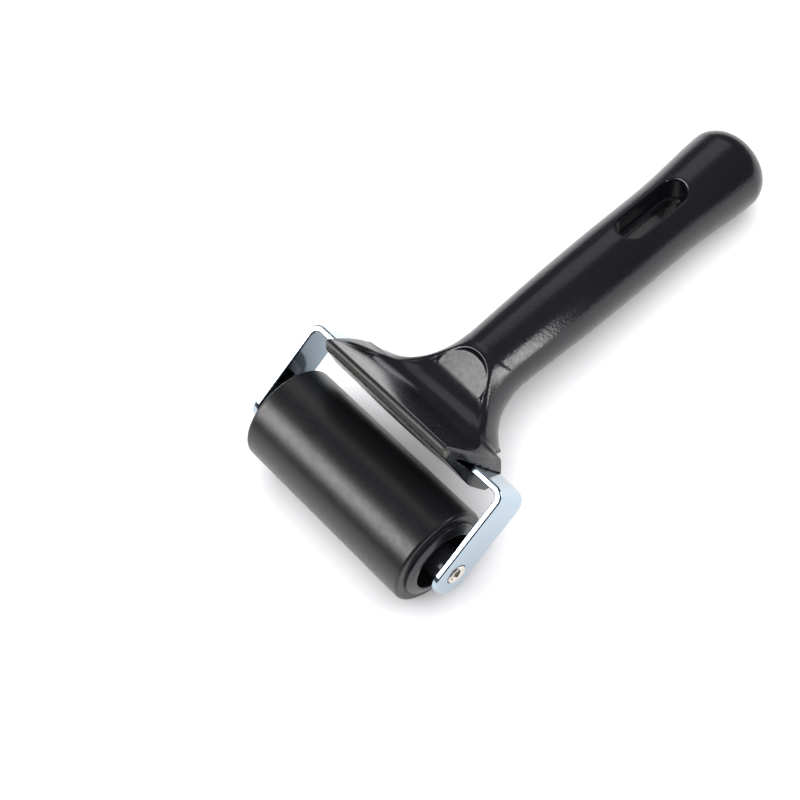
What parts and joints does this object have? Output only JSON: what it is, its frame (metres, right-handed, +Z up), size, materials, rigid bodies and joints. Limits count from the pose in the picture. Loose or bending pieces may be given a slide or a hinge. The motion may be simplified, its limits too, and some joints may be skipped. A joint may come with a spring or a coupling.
{
  "type": "rubber brayer",
  "caption": "Hand brayer: a rubber roller that spins on a riveted axle in a bent steel yoke, with a moulded plastic handle that has a thumb rest and a hanging slot.",
  "frame": {"origin": "on the table, under the middle of the roller's axle, with the tool lying on its roller and its handle's end", "axes": "+X along the roller's axle, +Y from the roller towards the handle's end, +Z up"},
  "size_m": [0.0732, 0.154, 0.0434],
  "materials": {
    "handle_plastic": "glossy moulded black plastic with a fine orange-peel grain",
    "plated_steel": "bright zinc-plated strip, mirror-like with a faint blue cast",
    "axle_steel": "plain steel with peened, hammer-marked rivet heads",
    "roller_rubber": "satin ground black rubber",
    "core_plastic": "plain black plastic tube",
    "cap_plastic": "glossy moulded black plastic"
  },
  "bodies": {
    "frame": {"handle": "handle_plastic", "yoke": "plated_steel", "axle": "axle_steel"},
    "roller": {"rubber_sleeve": "roller_rubber", "core_tube": "core_plastic", "end_cap_left": "cap_plastic", "end_cap_right": "cap_plastic"}
  },
  "joints": [
    {"name": "roller_spin", "type": "hinge", "parent": "frame", "child": "roller", "pos_m": [0, 0, 0.01405], "axis": [1, 0, 0], "continuous": true}
  ]
}
